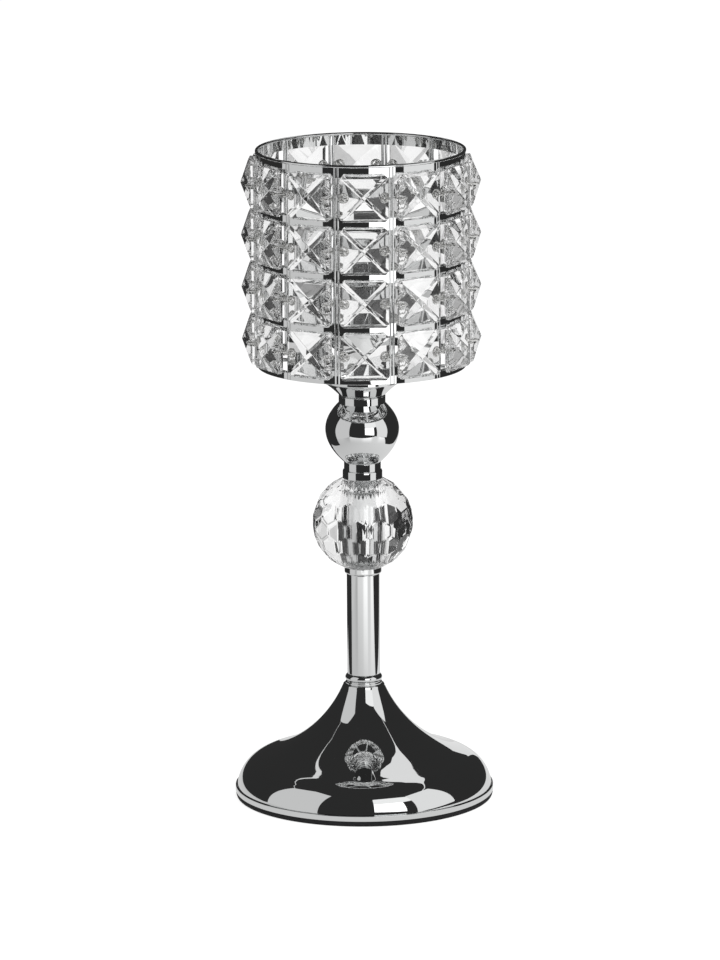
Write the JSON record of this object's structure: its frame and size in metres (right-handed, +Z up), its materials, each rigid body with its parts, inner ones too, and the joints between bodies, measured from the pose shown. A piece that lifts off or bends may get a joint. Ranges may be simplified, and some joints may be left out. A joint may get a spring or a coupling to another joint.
{
  "type": "candlestick",
  "caption": "Chrome candlestick with a flared round base, slim stem, faceted glass ball and knob, and a cylindrical cup whose cage holds square pointed glass beads round the candle.",
  "frame": {"origin": "middle of the pad's underside, on the surface that the candlestick stands on", "axes": "+Z up along the stem, -Y towards the viewer of the picture"},
  "size_m": [0.1, 0.1, 0.2532],
  "materials": {
    "chrome_plate": "mirror-bright plating",
    "cut_glass": "polished facets",
    "zinc_steel": "zinc plated",
    "black_foam": "matt closed-cell foam"
  },
  "bodies": {
    "stand": {"base_pad": "black_foam", "base_shell": "chrome_plate", "tie_bolt": "zinc_steel", "foot_collar": "chrome_plate", "stem_tube": "chrome_plate", "ball_spindle": "chrome_plate", "crystal_ball": "cut_glass", "neck_collar": "chrome_plate", "knob": "chrome_plate"},
    "cup_nut": {"cup_nut": "zinc_steel"},
    "cup": {"cup_dish": "chrome_plate", "cup_cage": "chrome_plate", "bead_row1_col01": "cut_glass", "bead_row1_col02": "cut_glass", "bead_row1_col03": "cut_glass", "bead_row1_col04": "cut_glass", "bead_row1_col05": "cut_glass", "bead_row1_col06": "cut_glass", "bead_row1_col07": "cut_glass", "bead_row1_col08": "cut_glass", "bead_row1_col09": "cut_glass", "bead_row1_col10": "cut_glass", "bead_row1_col11": "cut_glass", "bead_row1_col12": "cut_glass", "bead_row2_col01": "cut_glass", "bead_row2_col02": "cut_glass", "bead_row2_col03": "cut_glass", "bead_row2_col04": "cut_glass", "bead_row2_col05": "cut_glass", "bead_row2_col06": "cut_glass", "bead_row2_col07": "cut_glass", "bead_row2_col08": "cut_glass", "bead_row2_col09": "cut_glass", "bead_row2_col10": "cut_glass", "bead_row2_col11": "cut_glass", "bead_row2_col12": "cut_glass", "bead_row3_col01": "cut_glass", "bead_row3_col02": "cut_glass", "bead_row3_col03": "cut_glass", "bead_row3_col04": "cut_glass", "bead_row3_col05": "cut_glass", "bead_row3_col06": "cut_glass", "bead_row3_col07": "cut_glass", "bead_row3_col08": "cut_glass", "bead_row3_col09": "cut_glass", "bead_row3_col10": "cut_glass", "bead_row3_col11": "cut_glass", "bead_row3_col12": "cut_glass", "bead_row4_col01": "cut_glass", "bead_row4_col02": "cut_glass", "bead_row4_col03": "cut_glass", "bead_row4_col04": "cut_glass", "bead_row4_col05": "cut_glass", "bead_row4_col06": "cut_glass", "bead_row4_col07": "cut_glass", "bead_row4_col08": "cut_glass", "bead_row4_col09": "cut_glass", "bead_row4_col10": "cut_glass", "bead_row4_col11": "cut_glass", "bead_row4_col12": "cut_glass"}
  },
  "joints": [
    {"name": "cup_rise", "type": "slide", "parent": "stand", "child": "cup_nut", "axis": [0, 0, 1], "range_m": [0, 0.01]},
    {"name": "cup_unscrew", "type": "hinge", "parent": "cup_nut", "child": "cup", "pos_m": [0, 0, 0.159], "axis": [0, 0, 1], "range_deg": [0, 2880]}
  ],
  "couplings": [
    {"joint": "cup_rise", "follows": "cup_unscrew", "m_per_rad": 0.00019894}
  ]
}
